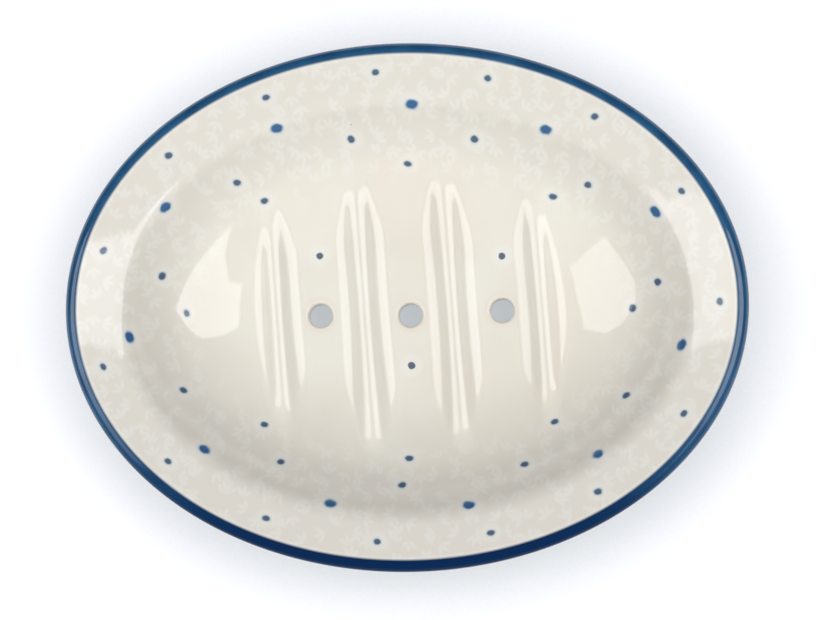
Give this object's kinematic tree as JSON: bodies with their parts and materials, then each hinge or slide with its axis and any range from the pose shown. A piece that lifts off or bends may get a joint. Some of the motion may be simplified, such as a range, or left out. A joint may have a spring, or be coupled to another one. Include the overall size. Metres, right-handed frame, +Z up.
{
  "type": "soap dish",
  "caption": "Oval glazed stoneware soap dish with a broad flange, slanted soap ridges, drain holes and a bare foot ring.",
  "frame": {"origin": "on the table under the middle of the dish, at the plane that the foot ring stands on", "axes": "+X along the dish's long axis, +Y across it, +Z up"},
  "size_m": [0.145, 0.1124, 0.0265],
  "materials": {
    "cream_glaze": "glossy cream glaze with a pale scattered print, small blue dots and fine dark specks",
    "cobalt_rim": "cobalt blue painted under the same glossy glaze",
    "bare_clay": "matt unglazed fired clay"
  },
  "bodies": {
    "root": {"dish_body": "cream_glaze", "rim_band": "cobalt_rim", "foot_ring": "bare_clay", "left_outer_ridge": "cream_glaze", "left_inner_ridge": "cream_glaze", "right_inner_ridge": "cream_glaze", "right_outer_ridge": "cream_glaze"}
  },
  "joints": []
}
